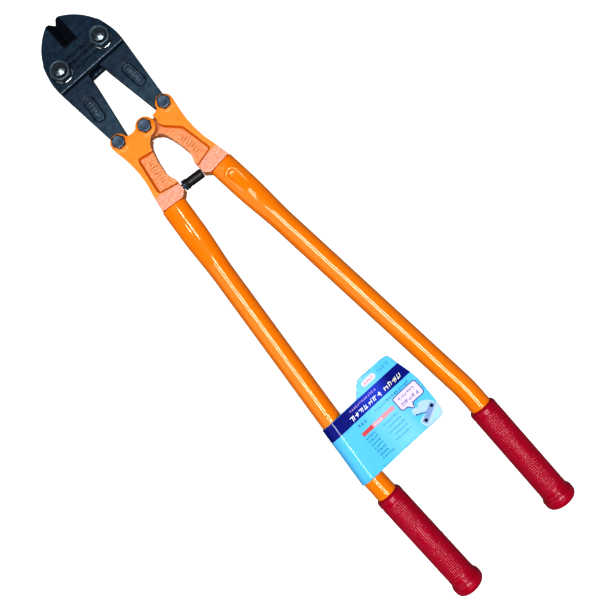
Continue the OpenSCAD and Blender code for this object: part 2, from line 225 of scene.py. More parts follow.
class Shader:
    """A material with a Principled surface and short ways to add nodes to it."""

    def __init__(self, name, color, roughness, metallic=0.0, coat=0.0, coat_roughness=0.05,
                 specular=0.5):
        self.material = bpy.data.materials.new(name)
        self.material.use_nodes = True
        self.tree = self.material.node_tree
        self.surface = self.tree.nodes["Principled BSDF"]
        self.surface.inputs["Base Color"].default_value = (*color, 1)
        self.surface.inputs["Roughness"].default_value = roughness
        self.surface.inputs["Metallic"].default_value = metallic
        self.surface.inputs["Specular IOR Level"].default_value = specular
        self.surface.inputs["Coat Weight"].default_value = coat
        self.surface.inputs["Coat Roughness"].default_value = coat_roughness
        self.place = self.node("ShaderNodeTexCoord").outputs["Object"]

    def node(self, kind, **settings):
        made = self.tree.nodes.new(kind)
        for key, value in settings.items():
            setattr(made, key, value)
        return made

    def feed(self, socket, value):
        if isinstance(value, bpy.types.NodeSocket):
            self.tree.links.new(value, socket)
        else:
            socket.default_value = value

    def math(self, operation, a, b=0.0, c=0.0, clamp=False):
        made = self.node("ShaderNodeMath", operation=operation, use_clamp=clamp)
        for socket, value in zip(made.inputs, (a, b, c)):
            self.feed(socket, value)
        return made.outputs[0]

    def noise(self, size, detail=3.0, roughness=0.55, place=None):
        """Noise whose features are about size millimetres across."""
        made = self.node("ShaderNodeTexNoise")
        self.feed(made.inputs["Vector"], place or self.place)
        made.inputs["Scale"].default_value = 1 / (size * MM)
        made.inputs["Detail"].default_value = detail
        made.inputs["Roughness"].default_value = roughness
        return made.outputs["Fac"]

    def ramp(self, value, low, high, out_low=0.0, out_high=1.0):
        made = self.node("ShaderNodeMapRange", interpolation_type="SMOOTHSTEP")
        self.feed(made.inputs["Value"], value)
        for name, number in zip(("From Min", "From Max", "To Min", "To Max"),
                                (low, high, out_low, out_high)):
            made.inputs[name].default_value = number
        return made.outputs["Result"]

    def mix(self, factor, a, b):
        made = self.node("ShaderNodeMix", data_type="RGBA")
        self.feed(made.inputs["Factor"], factor)
        for socket, value in ((made.inputs[6], a), (made.inputs[7], b)):
            self.feed(socket, value if isinstance(value, bpy.types.NodeSocket) else (*value, 1))
        return made.outputs[2]

    def bump(self, height, depth, normal=None):
        """Bump of the given height map, depth in millimetres."""
        made = self.node("ShaderNodeBump")
        made.inputs["Strength"].default_value = 1.0
        made.inputs["Distance"].default_value = depth * MM
        self.feed(made.inputs["Height"], height)
        if normal is not None:
            self.feed(made.inputs["Normal"], normal)
        return made.outputs["Normal"]

    def edges(self, low, high):
        """1 on convex edges of a dense mesh, 0 on its flats."""
        geometry = self.node("ShaderNodeNewGeometry")
        return self.ramp(geometry.outputs["Pointiness"], low, high)

    def mark(self):
        """The value that rounded_copy stored on each point."""
        return self.node("ShaderNodeAttribute", attribute_name="mark").outputs["Fac"]

    def axis(self, name, of=None):
        split = self.node("ShaderNodeSeparateXYZ")
        self.feed(split.inputs[0], of or self.place)
        return split.outputs[name]

    def set(self, name, value):
        self.feed(self.surface.inputs[name], value)


def forged_steel(name, dark_a, dark_b):
    """Blue-black oxide on forged steel: fine scale, soft mottling and bare metal on worn edges, with
    painted light: a sheen that makes it paler towards the handles, a highlight on the plates' rear
    edges, and shade, nearly black, on the ground bevels, in the grooves and in the stamps."""
    s = Shader(name, dark_b, 0.45, specular=0.3)
    mottle = s.ramp(s.noise(7.0, 4.0), 0.32, 0.68)
    # Painted sheen: the tone grows paler towards the handles, on the jaws' arms.
    tail = s.ramp(s.axis("Y"), (JAW_PIVOT.y - 14) * MM, (JAW_PIVOT.y - 80) * MM)
    dark = s.mix(mottle, dark_a, dark_b)
    pale_sheen = s.mix(mottle, (0.012, 0.034, 0.058), (0.029, 0.064, 0.096))
    tone = s.mix(tail, dark, pale_sheen)
    # Painted shade: the ground bevels along the cutting edges are made nearly black.
    across = s.math("ABSOLUTE", s.axis("X"))
    ahead = s.ramp(s.axis("Y"), (JAW_PIVOT.y + 16) * MM, (JAW_PIVOT.y + 18) * MM)
    bevel = s.math("MULTIPLY", s.ramp(across, 10.0 * MM, 8.6 * MM), ahead)
    tone = s.mix(bevel, tone, (0.002, 0.005, 0.011))
    # Painted shade: nearly black where the mark is below 0, in the grooves round the arms' ovals and in
    # the plates' stamps.
    mark = s.mark()
    tone = s.mix(s.ramp(mark, 0.0, -1.0), tone, (0.002, 0.004, 0.008))
    scuffed = s.ramp(s.noise(2.2, 3.0), 0.36, 0.6)
    # rims also brings in the plates' rear edges, where the bright colour is partly a painted highlight.
    rims = s.math("MAXIMUM", s.ramp(mark, 0.05, 1.0), s.edges(0.525, 0.59))
    worn = s.math("MULTIPLY", rims, scuffed)
    s.set("Base Color", s.mix(worn, tone, (0.17, 0.22, 0.25)))
    s.set("Roughness", s.ramp(s.noise(4.0), 0.3, 0.7, 0.36, 0.54))
    s.set("Normal", s.bump(s.noise(0.7, 2.0), 0.07, s.bump(s.noise(3.5), 0.22)))
    return s.material


def nut_steel(name, metallic, dark, light, roughness):
    """Gunmetal oxide with worn rims."""
    s = Shader(name, light, roughness, metallic=metallic)
    worn = s.math("MULTIPLY", s.edges(0.54, 0.66), s.ramp(s.noise(2.0), 0.5, 0.66))
    tone = s.mix(s.ramp(s.noise(2.0, 4.0), 0.38, 0.62), dark, light)
    s.set("Base Color", s.mix(worn, tone, (0.34, 0.37, 0.4)))
    s.set("Roughness", s.ramp(s.noise(1.5), 0.3, 0.7, roughness - 0.06, roughness + 0.08))
    s.set("Normal", s.bump(s.noise(0.9), 0.02))
    return s.material


def bright_steel():
    """Bare steel of the washers."""
    s = Shader("bright_steel", (0.4, 0.42, 0.44), 0.3, metallic=1.0)
    s.set("Base Color", s.mix(s.ramp(s.noise(1.5), 0.4, 0.65), (0.45, 0.47, 0.49), (0.14, 0.16, 0.18)))
    s.set("Roughness", s.ramp(s.noise(1.0), 0.3, 0.7, 0.26, 0.42))
    s.set("Normal", s.bump(s.noise(0.8), 0.04))
    return s.material


def pivot_steel():
    """Blue-grey plated bolt."""
    s = Shader("pivot_steel", (0.12, 0.18, 0.25), 0.34, metallic=0.75)
    tone = s.mix(s.ramp(s.noise(3.0), 0.35, 0.65), (0.05, 0.075, 0.11), (0.085, 0.12, 0.165))
    worn = s.math("MULTIPLY", s.edges(0.53, 0.6), s.ramp(s.noise(1.5), 0.4, 0.6))
    s.set("Base Color", s.mix(worn, tone, (0.4, 0.45, 0.5)))
    s.set("Roughness", s.ramp(s.noise(1.2), 0.3, 0.7, 0.28, 0.42))
    s.set("Normal", s.bump(s.noise(0.5), 0.02))
    return s.material


def casting_paint():
    """Orange paint over a casting: smooth on the ground faces, rough where it is as cast, with a painted
    pinkish sheen on the rough upper and lower faces and on the collars, and painted shade, a deeper
    colour, along the panels' walls, round the pocket and in concave corners."""
    s = Shader("casting_paint", (0.75, 0.2, 0.01), 0.34, coat=0.12, coat_roughness=0.14,
               specular=0.3)
    depth = s.math("ABSOLUTE", s.math("SUBTRACT", s.axis("Z"), MID_Z * MM))
    level = s.math("ABSOLUTE", s.axis("Z", s.node("ShaderNodeTexCoord").outputs["Normal"]))
    recess = s.math("MULTIPLY", s.ramp(depth, 10.2 * MM, 8.6 * MM), s.ramp(level, 0.55, 0.85))
    collar = s.ramp(s.axis("Y"), (CENTRE_PIVOT.y - 62) * MM, (CENTRE_PIVOT.y - 69) * MM)
    rough = s.math("MAXIMUM", recess, collar)
    blotch = s.ramp(s.noise(2.4, 4.0), 0.32, 0.66)
    grain = s.math("MULTIPLY", s.noise(1.5, 3.0), rough)
    smooth_tone = s.mix(s.noise(14.0), (0.78, 0.24, 0.022), (0.8, 0.27, 0.035))
    # Painted sheen: the pinkish paleness of the rough panel floors stands for haze of light, kept to
    # faces turned up or down.
    rough_sheen_tone = s.mix(blotch, (0.6, 0.2, 0.065), (0.68, 0.31, 0.15))
    # Painted sheen: the collars' pinkish upper and lower faces.
    collar_sheen_tone = s.mix(blotch, (0.66, 0.25, 0.15), (0.72, 0.36, 0.28))
    tone = s.mix(recess, smooth_tone, rough_sheen_tone)
    tone = s.mix(collar, tone, s.mix(s.ramp(depth, 9.0 * MM, 10.5 * MM), tone, collar_sheen_tone))
    # Painted shade: a deeper orange along the panels' and pocket's walls and in concave corners, and on
    # the bars.
    painted_shade = s.math("MAXIMUM", s.edges(0.485, 0.44), s.ramp(s.mark(), 0.1, 0.75))
    tone = s.mix(painted_shade, tone, (0.54, 0.125, 0.003))
    speck = s.math("MULTIPLY", s.ramp(s.noise(1.3, 1.0), 0.68, 0.75), s.ramp(s.noise(6.0), 0.42, 0.58))
    s.set("Base Color", s.mix(speck, tone, (0.3, 0.06, 0.01)))
    s.set("Roughness", s.ramp(grain, 0.0, 1.0, 0.26, 0.46))
    s.set("Normal", s.bump(s.noise(0.8, 2.0), 0.03, s.bump(grain, 0.5, s.bump(s.noise(7.0), 0.2))))
    return s.material


def tube_paint():
    """High-gloss orange paint with a little orange peel and dust in it."""
    s = Shader("tube_paint", (0.75, 0.2, 0.001), 0.3, coat=0.9, coat_roughness=0.035, specular=0.1)
    tone = s.mix(s.noise(30.0), (0.74, 0.196, 0.001), (0.79, 0.222, 0.003))
    speck = s.ramp(s.noise(1.1, 1.0), 0.74, 0.8)
    s.set("Base Color", s.mix(speck, tone, (0.75, 0.13, 0.01)))
    s.set("Coat Normal", s.bump(s.noise(9.0, 1.0), 0.0005))
    return s.material


def grip_vinyl():
    """Crimson dipped vinyl."""
    s = Shader("grip_vinyl", (0.36, 0.0, 0.02), 0.34, coat=0.28, coat_roughness=0.16, specular=0.22)
    tone = s.mix(s.noise(12.0), (0.3, 0.0, 0.02), (0.36, 0.0, 0.032))
    s.set("Base Color", tone)
    s.set("Roughness", s.ramp(s.noise(2.0), 0.3, 0.7, 0.3, 0.4))
    s.set("Normal", s.bump(s.noise(0.9, 2.0), 0.03))
    return s.material


def stop_rubber():
    """Black moulded rubber."""
    s = Shader("stop_rubber", (0.006, 0.006, 0.008), 0.5)
    s.set("Base Color", s.mix(s.noise(2.0), (0.004, 0.004, 0.006), (0.012, 0.012, 0.015)))
    s.set("Roughness", s.ramp(s.noise(1.0), 0.3, 0.7, 0.4, 0.62))
    s.set("Normal", s.bump(s.noise(0.5), 0.05))
    return s.material


def print_ink(name, color, middle=None):
    """Printed card under a glossy film, with a faint mottle in the ink. middle is the paler colour, a
    painted glare, that the print fades to in the middle of the flap."""
    s = Shader(name, color, 0.6, coat=0.35, coat_roughness=0.05, specular=0.05)
    light = tuple(min(1, c * 1.12 + 0.003) for c in color)
    tone = s.mix(s.noise(2.5, 4.0), color, light)
    if middle:
        # Painted glare: the print grows paler towards the middle of the flap.
        x = s.axis("X")
        fade = s.math("MULTIPLY", s.ramp(x, -46 * MM, -12 * MM), s.ramp(x, 16 * MM, -4 * MM))
        tone = s.mix(fade, tone, middle)
    s.set("Base Color", tone)
    s.set("Coat Normal", s.bump(s.noise(16.0, 2.0), 0.025))
    s.set("Normal", s.bump(s.noise(0.5, 2.0), 0.01))
    return s.material


# ---- Tubes ----

def smoothstep(t):
    t = min(1, max(0, t))
    return t * t * (3 - 2 * t)


class Path:
    """Centre line of a handle tube, drawn on the +X side, with lengths from the handle head."""

    def __init__(self, straight):
        self.straight = straight
        self.length = straight + GRIP_LEAD

    def heading(self, s):
        return SPLAY - (SPLAY + TOE_IN) * min(1, max(0, (s - self.straight) / BEND_LENGTH))

    def at(self, s):
        run = min(s, self.straight)
        x = TUBE_START_X + run * math.sin(SPLAY)
        y = TUBE_START_Y - run * math.cos(SPLAY)
        turn = self.heading(s)
        x += BEND_RADIUS * (math.cos(turn) - math.cos(SPLAY))
        y += BEND_RADIUS * (math.sin(turn) - math.sin(SPLAY))
        rest = max(0, s - self.straight - BEND_LENGTH)
        return x - rest * math.sin(TOE_IN), y - rest * math.cos(TOE_IN)

    def place(self, s, across, up):
        x, y = self.at(s)
        turn = self.heading(s)
        return x + across * math.cos(turn), y + across * math.sin(turn), MID_Z + up


PATHS = {1: Path(STRAIGHT - RIGHT_TRIM), -1: Path(STRAIGHT)}


CRIMP_START = 18.0      # middle of the crimp's rounded end, from the start of the tube
CRIMP_END = 42.0        # where the crimp has faded out
CRIMP_HALF = 6.2        # half of its width
CRIMP_DEPTH = 2.3
CRIMP_RIM = 0.45        # height of its rim, and of the soft bump at its faded end


def crimp(s, across):
    """Depth of the crimp that locks the tube on its handle head, with its raised rim."""
    off = math.hypot(across, CRIMP_START - s) if s < CRIMP_START else abs(across)
    edge = off / CRIMP_HALF
    fade = min(1, max(0, (CRIMP_END - s) / 22))
    rim = CRIMP_RIM * math.exp(-((edge - 1.12) / 0.24) ** 2) * fade
    bump = CRIMP_RIM * math.exp(-((s - 40) / 9) ** 2 - (across / 4) ** 2)
    return CRIMP_DEPTH * smoothstep((1.05 - edge) / 0.6) * fade - rim - bump


def tube(name, side, face):
    path = PATHS[side]
    end = path.length - GRIP_CAP
    bend = path.straight
    stations = np.concatenate([
        [0.1, 0.35], np.arange(0.8, 56, 0.6), np.arange(56, 100, 2.5), np.arange(100, bend - 4, 12),
        np.arange(bend - 4, bend + 26, 1.5), [end]])
    sides = 160
    rows = []
    for inset in (0.0, TUBE_WALL):
        loop = []
        for s in stations:
            oval = smoothstep((OVAL_LENGTH - s) / 60)
            lip = 0.3 if s < 0.3 else 0.0
            row = []
            for k in range(sides):
                turn = 2 * math.pi * k / sides
                across = (TUBE_R - inset - lip + oval * OVAL_EXTRA) * math.cos(turn)
                up = (TUBE_R - inset - lip - oval * OVAL_SQUEEZE) * math.sin(turn)
                if up * face > 0 and s < 60:
                    up -= face * crimp(s, across)
                x, y, z = path.place(s, across, up)
                row.append((side * x, y, z))
            loop.append(row)
        rows += loop if inset == 0 else loop[::-1]
    return grid_object(name, np.array(rows), close_rows=True)


# ---- Grips ----

DOTS_AROUND = 44        # raised dots around the grip
DOT_PITCH = 2.2         # from one ring of dots to the next
DOT_HEIGHT = 0.4
END_ROUND = 6.5         # radius of the rounded rim at the closed end


def grip_radius(t):
    """Radius of the grip at a distance t from its open end, without its dots."""
    flare_at = GRIP_LENGTH - END_ROUND
    r = GRIP_R - 2.2 * (1 - smoothstep(t / 4.0) ** 0.5)
    r -= 0.45 * smoothstep((t - 8.5) / 1.2) * smoothstep((GRIP_LENGTH - 21 - t) / 1.2)
    if t > GRIP_LENGTH - 19:
        r += (FLARE_R - GRIP_R) * smoothstep((t - (GRIP_LENGTH - 16.5)) / 6)
    if t > flare_at:
        r -= END_ROUND * (1 - math.sqrt(max(0, 1 - ((t - flare_at) / END_ROUND) ** 2)))
    return r


def dot_height(t, turn):
    """Height of the dots, which stop at the grip's ends and are lower on an oval plate."""
    row = t / DOT_PITCH
    around = turn / (2 * math.pi) * DOTS_AROUND
    off = math.hypot((row % 1 - 0.5) / 0.5, (around % 1 - 0.5) / 0.5)
    ends = smoothstep((t - 9.5) / 1.5) * smoothstep((GRIP_LENGTH - 22 - t) / 1.5)
    oval = (GRIP_R * math.cos(turn) / 8.5) ** 2 + ((t - 60.5) / 14.5) ** 2
    clear = 0.45 + 0.55 * smoothstep((oval - 0.95) / 0.1)
    plate = 0.22 * smoothstep((1.02 - oval) / 0.12) * ends
    across = abs(GRIP_R * math.cos(turn))
    ticks = smoothstep(1.6 - abs(across - 1.6) / 0.6) * smoothstep(1.5 - abs(t - GRIP_LENGTH + 15) / 2)
    return DOT_HEIGHT * smoothstep(1.5 * (1 - off)) * ends * clear + plate + 0.35 * ticks


def grip(name, side):
    path = PATHS[side]
    start = path.length - GRIP_LENGTH
    sides = DOTS_AROUND * 6
    outside = np.concatenate([
        np.linspace(0, 5, 9), np.arange(5.5, 9, 0.7), np.arange(9, GRIP_LENGTH - 20, DOT_PITCH / 5),
        np.arange(GRIP_LENGTH - 20, GRIP_LENGTH - END_ROUND, 0.7),
        GRIP_LENGTH - END_ROUND * (1 - np.sin(np.linspace(0.05, math.pi / 2, 12)))])
    rows = []

    def ring(t, radius_at):
        row = []
        for k in range(sides):
            turn = 2 * math.pi * k / sides
            r = radius_at(turn)
            x, y, z = path.place(start + t, r * math.cos(turn), r * math.sin(turn))
            row.append((side * x, y, z))
        rows.append(row)

    for t in (GRIP_LENGTH - GRIP_CAP, 0.8, 0.2):
        ring(t, lambda turn: TUBE_R + 0.05 + (0.3 if t < 0.5 else 0))
    for t in outside:
        ring(t, lambda turn: grip_radius(t) + dot_height(t, turn))
    ring(GRIP_LENGTH, lambda turn: 0.0)
    ring(GRIP_LENGTH - GRIP_CAP, lambda turn: 0.0)
    return grid_object(name, np.array(rows), close_rows=True)


# ---- Fasteners ----

def hex_radius(flats, angle):
    """Distance from a hexagon's middle to its side, with slightly rounded corners."""
    off = (angle % (math.pi / 3)) - math.pi / 6
    return min(flats / 2 / math.cos(off), flats / 2 / math.cos(math.pi / 6) * 0.985)


def hex_wall(flats, height, chamfer_low):
    """Side of a hexagon from its lower to its upper face, as a profile for each angle."""
    face = flats / 2 * 0.95
    edge = 0.25

    def profile(angle):
        r = hex_radius(flats, angle)
        drop = max(0.0, r - face) * 0.55 + 0.02
        low = drop if chamfer_low else 0.05
        inner = face if chamfer_low else r - edge
        return [(inner - 0.4, 0), (inner, 0.02), (r - edge * 0.3, low + 0.02), (r, low + edge),
                (r, height - drop - edge), (r - edge * 0.3, height - drop + 0.02),
                (face + 0.15, height - 0.08), (face - 0.25, height)]
    return profile


def hex_nut(name, flats, height, bore, centre, up=1):
    wall = hex_wall(flats, height, True)
    sink = bore + 1.5

    def profile(angle):
        return [(bore, height - 1.9), (bore, 1.0), (bore + 0.9, 0.1)] + wall(angle) + [
            (sink + 0.35, height), (sink, height - 0.15)]
    return turned(name, profile, centre, 144, up=up)


def bolt(name, flats, height, shank_r, shank, centre, up=1, end_chamfer=1.4, dome=0.5):
    """Hex bolt whose head is on the upper side of centre when up is 1; its shank goes down."""
    wall = hex_wall(flats, height, False)
    threads = min(shank, 6) - 0.75

    def profile(angle):
        rows = [(0, height - 0.16), (flats * 0.2, height - 0.14), (flats * 0.36, height - 0.05),
                (flats * 0.42, height)]
        rows += wall(angle)[::-1]
        rows.append((shank_r, -0.05))
        for k in range(int(threads / 0.75)):
            ridge = shank_r - (0.35 if k % 2 else 0.0)
            rows.append((ridge, -shank + end_chamfer + threads - 0.75 * k))
        crown = shank_r - end_chamfer
        rows.append((shank_r - 0.1, -shank + end_chamfer))
        for t in (1.0, 0.92, 0.8, 0.6, 0.4, 0.2, 0.0):
            rows.append((crown * t, -shank + dome * (t ** 2)))
        return rows
    return turned(name, profile, centre, 144, closed=False, up=up)


def washer(name, radius, bore, thickness, centre):
    def profile(angle):
        return [(bore, thickness - 0.1), (bore, 0.1), (bore + 0.1, 0), (radius - 0.25, 0),
                (radius, 0.25), (radius, thickness - 0.3), (radius - 0.3, thickness),
                (bore + 0.1, thickness)]
    return turned(name, profile, centre, 96)


# ---- The build ----

def join(pieces, name):
    """Joins meshes into the first one."""
    work = bmesh.new()
    for piece in pieces:
        work.from_mesh(piece.data)
    mesh = bpy.data.meshes.new(name)
    work.to_mesh(mesh)
    work.free()
    pieces[0].data = mesh
    pieces[0].name = name
    for piece in pieces[1:]:
        bpy.data.objects.remove(piece)


ARM_PANEL = (28.7, JAW_PIVOT.y - 48.5)      # middle of the raised oval on each jaw's arm
ARM_PANEL_TILT = math.radians(5.5)
ARM_PANEL_REACH = 9.3
ARM_PANEL_R = 5.2


def ridges(along, across, pitch, width, half_length, count):
    """1 on a row of short raised bars, every other one shorter, and 0 between them."""
    step = np.round(along / pitch)
    off = np.abs(along - step * pitch) / (width / 2)
    reach = half_length * np.where(step % 2 == 0, 1.0, 0.62)
    inside = np.clip((1.3 - off) / 0.6, 0, 1) * np.clip((reach - np.abs(across)) / 0.5 + 0.5, 0, 1)
    return inside * (np.abs(step) <= count)


def arm_panel(points, normals):
    """How far each point is outside the oval, its bars, and whether it is on a jaw's face."""
    local = np.column_stack([np.abs(points[:, 0]), points[:, 1]]) - np.array(ARM_PANEL)
    along = local @ (-math.sin(ARM_PANEL_TILT), math.cos(ARM_PANEL_TILT))
    across = local @ (math.cos(ARM_PANEL_TILT), math.sin(ARM_PANEL_TILT))
    beyond = np.maximum(np.abs(along) - ARM_PANEL_REACH, 0)
    outside = np.hypot(beyond, across) - ARM_PANEL_R
    return outside, ridges(along, across, 2.7, 1.1, 2.9, 3), np.abs(normals[:, 2]) > 0.6


def emboss_arm(points, normals):
    outside, bars, face = arm_panel(points, normals)
    groove = 0.5 * np.exp(-((outside - 0.9) / 0.6) ** 2)
    sunk = 0.35 * np.clip((-1.0 - outside) / 0.5, 0, 1)
    return face * (0.45 * bars - groove - sunk)


def mark_arm(points, normals):
    """-1 in the groove around the oval, for the painted shade there, and above 0 on the oval's rim and
    bars.
    """
    outside, bars, face = arm_panel(points, normals)
    groove = np.exp(-((outside - 0.8) / 0.7) ** 2)
    rim = 0.5 * np.exp(-((outside + 0.6) / 0.5) ** 2)
    return face * np.where(groove > 0.3, -groove, np.maximum(rim, 0.7 * bars))


def build_head(steel, plate_steel, nut, thread_end, bright):
    plate_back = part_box("top_link_plate")[0].y / MM

    def meet(points, normals):
        """Moves the cutting edges onto the midline, where they touch."""
        x = points[:, 0]
        edge = (np.abs(x) < 0.45) * (points[:, 1] > plate_back + 18)
        return np.column_stack([-x * edge, 0 * x, 0 * x])

    def firm(points):
        """Keeps the cutting edges sharp and the jaws' inner faces where they are."""
        ahead = points[:, 1] > plate_back + 20
        return np.where(ahead, np.clip((np.abs(points[:, 0]) - 1.0) / 2.5, 0, 1), 1.0)

    def plate_stamps(points):
        """1 on three rows of small stamped bars in the middle of a link plate."""
        rows = points[:, 1] - (plate_back + 18)
        row = np.clip(np.round(rows / 7), -1, 1)
        return ridges(points[:, 0] + 1.3 * row, rows - 7 * row, 2.9, 1.2, 2.3, 5)

    def emboss_plate(points, normals):
        return -0.4 * plate_stamps(points) * (np.abs(normals[:, 2]) > 0.8)

    def mark_plate(points, normals):
        """1 on the rear edges, which are worn and carry a painted highlight, a little on the other rims,
        and below 0 in the stamps, for painted shade there.
        """
        flat = np.abs(normals[:, 2])
        rim = np.clip((0.97 - flat) / 0.2, 0, 1) * (flat > 0.35)
        # The rear edge's 1 is worn metal with a painted highlight on it.
        rear = np.clip(1.6 - np.abs(points[:, 1] - plate_back - 0.2), 0, 1) * (flat > 0.3)
        return np.maximum(0.3 * rim, rear) - 0.6 * plate_stamps(points) * (flat > 0.8)

    for node in ("top_link_plate", "bottom_link_plate"):
        piece = rounded_copy(node, 0.42, 5, wave=0.14, wave_size=7.0, emboss=emboss_plate,
                             mark=mark_plate)
        install(piece, node, plate_steel)
    for node in ("left_jaw", "right_jaw"):
        piece = rounded_copy(node, 0.42, 9, reshape=meet, firm=firm, wave=0.15, wave_size=12.0,
                             emboss=emboss_arm, mark=mark_arm)
        install(piece, node, steel)
    plate_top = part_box("top_link_plate")[1].z / MM
    nut_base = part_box("right_jaw_nut")[0].z / MM
    bolt_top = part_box("right_jaw_bolt")[1].z / MM
    washers = []
    for side, word in ((-1, "left"), (1, "right")):
        spot = (side * JAW_PIVOT.x, JAW_PIVOT.y)
        piece = bolt(word + "_jaw_bolt_finish", JAW_HEX, JAW_HEAD, JAW_BOLT_R,
                     bolt_top - JAW_HEAD, (*spot, JAW_HEAD), up=-1, end_chamfer=1.5, dome=1.3)
        install(piece, word + "_jaw_bolt", thread_end)
        piece = hex_nut(word + "_jaw_nut_finish", JAW_HEX, JAW_NUT, JAW_BOLT_R, (*spot, nut_base))
        install(piece, word + "_jaw_nut", nut)
        washers.append(washer("washer_" + word, WASHER_R, JAW_BOLT_R + 0.02,
                              nut_base - plate_top, (*spot, plate_top)))
    join(washers, "jaw_nut_washers_finish")
    install(washers[0], "jaw_nut_washers", bright)


# Panels of a handle head, measured from the centre pivot on the +X side: the short one is on
# the face with the lug, and the long one is on the other face
SHORT_PANEL = ((-5, -27.5), (12.8, -24.5), (28.6, -21.5), (30.5, -24.5), (36.9, -60.9),
               (36.2, -63.9), (13.8, -69.3), (-5, -73))
LONG_PANEL = ((-5, -6), (12.8, -6.7), (15.8, -12.6), (26.6, -23), (30.2, -27), (36.9, -60.9),
              (36.2, -63.9), (13.8, -69.3), (-5, -73))
PANEL_FLOOR = 7.7
POCKET_R = 14.0
BODY_FACE = 11.6


def outline_distance(points, outline):
    """Distance of each point from a closed outline's sides."""
    best = np.full(len(points), 1e9)
    for start, end in zip(outline, outline[1:] + outline[:1]):
        start, end = np.array(start, float), np.array(end, float)
        run = end - start
        t = np.clip((points - start) @ run / (run @ run), 0, 1)
        best = np.minimum(best, np.hypot(*(points - start - t[:, None] * run).T))
    return best


def slope_panels(side, lug_up):
    """Gives the walls of the recessed panels the slope that a casting's have."""
    def reshape(points, normals):
        local = (points[:, :2] - np.array(CENTRE_PIVOT)) * (side, 1)
        up = points[:, 2] - MID_Z
        shift = np.zeros_like(points)
        for outline, face in ((SHORT_PANEL, lug_up), (LONG_PANEL, -lug_up)):
            near = np.clip(1.8 - outline_distance(local, outline), 0, 1)
            near *= np.clip((local[:, 0] - 14) / 1.5, 0, 1)
            depth = np.clip((BODY_FACE - face * up) / (BODY_FACE - PANEL_FLOOR), 0, 1)
            amount = near * (face * up > PANEL_FLOOR - 0.6) * (2.6 * depth - 1.0)
            shift[:, :2] += normals[:, :2] * amount[:, None]
        return shift
    return reshape


PANEL_BARS = (23.5, -46.0)      # middle of the row of bars on each panel
PANEL_BARS_TILT = math.radians(9)


def panel_bars(local, up, normals):
    """1 on the row of tally bars on the floor of a panel, and 0 elsewhere."""
    local = local - np.array(PANEL_BARS)
    along = local @ (math.sin(PANEL_BARS_TILT), -math.cos(PANEL_BARS_TILT))
    across = local @ (math.cos(PANEL_BARS_TILT), math.sin(PANEL_BARS_TILT))
    floor = (np.abs(normals[:, 2]) > 0.8) * (np.abs(np.abs(up) - PANEL_FLOOR) < 1.2)
    return floor * ridges(along, across, 3.6, 1.4, 3.6, 3)


def mark_panels(side, lug_up):
    """Gives 1 along the walls of the panels and the pocket, for the painted shade there, and half of
    that on the panels' bars."""
    def mark(points, normals):
        local = (points[:, :2] - np.array(CENTRE_PIVOT)) * (side, 1)
        up = points[:, 2] - MID_Z
        painted_shade = np.zeros(len(points))
        # Painted shade along the panels' walls and round the pocket.
        for outline, face in ((SHORT_PANEL, lug_up), (LONG_PANEL, -lug_up)):
            wall = np.clip(2.3 - outline_distance(local, outline), 0, 1) * (local[:, 0] > 11)
            height = face * up - PANEL_FLOOR
            painted_shade = np.maximum(painted_shade, wall * (height > -0.6) * np.clip((3.6 - height) / 0.6, 0, 1))
        pocket = np.abs(np.hypot(*local.T) - POCKET_R) < 1.2
        painted_shade = np.maximum(painted_shade, pocket * (np.abs(normals[:, 2]) < 0.6))
        return np.maximum(painted_shade, 0.5 * panel_bars(local, up, normals))
    return mark


def emboss_panels(side):
    """Gives a row of raised tally bars on the floor of each panel."""
    def emboss(points, normals):
        local = (points[:, :2] - np.array(CENTRE_PIVOT)) * (side, 1)
        return 0.5 * panel_bars(local, points[:, 2] - MID_Z, normals)
    return emboss


def build_handle_heads(paint):
    for side, word, lug_up in ((-1, "left", 1), (1, "right", -1)):
        node = word + "_handle_head"
        piece = rounded_copy(node, 0.45, 12, reshape=slope_panels(side, lug_up), wave=0.3,
                             wave_size=14.0, emboss=emboss_panels(side),
                             mark=mark_panels(side, lug_up))
        install(piece, node, paint)


def build_pivots(steel):
    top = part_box("centre_pivot_bolt")[1].z / MM - PIVOT_HEAD
    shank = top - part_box("centre_pivot_bolt")[0].z / MM
    nut_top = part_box("centre_pivot_nut")[1].z / MM
    spots = {"left": (-OUTER_PIVOT.x, OUTER_PIVOT.y), "right": tuple(OUTER_PIVOT),
             "centre": tuple(CENTRE_PIVOT)}
    for word, spot in spots.items():
        piece = bolt(word + "_pivot_bolt_finish", PIVOT_HEX, PIVOT_HEAD, PIVOT_BOLT_R, shank,
                     (*spot, top), end_chamfer=1.0)
        install(piece, word + "_pivot_bolt", steel)
        piece = hex_nut(word + "_pivot_nut_finish", PIVOT_HEX, PIVOT_NUT, PIVOT_BOLT_R,
                        (*spot, nut_top), up=-1)
        install(piece, word + "_pivot_nut", steel)


def build_handles(paint, vinyl):
    for side, word, face in ((-1, "left", -1), (1, "right", 1)):
        install(tube(word + "_tube_finish", side, face), word + "_tube", paint)
        install(grip(word + "_grip_finish", side), word + "_grip", vinyl)


STOP_START = Vector((-13.7, CENTRE_PIVOT.y - 73.2, MID_Z))     # on the left head's inner face
BUMPER_NOSE = 27.0
LOCK_NUT_HEX = 11.0
LOCK_NUT_HEIGHT = 3.6
LOCK_NUT_BORE = 3.02
LOCK_NUT_START = 1.6


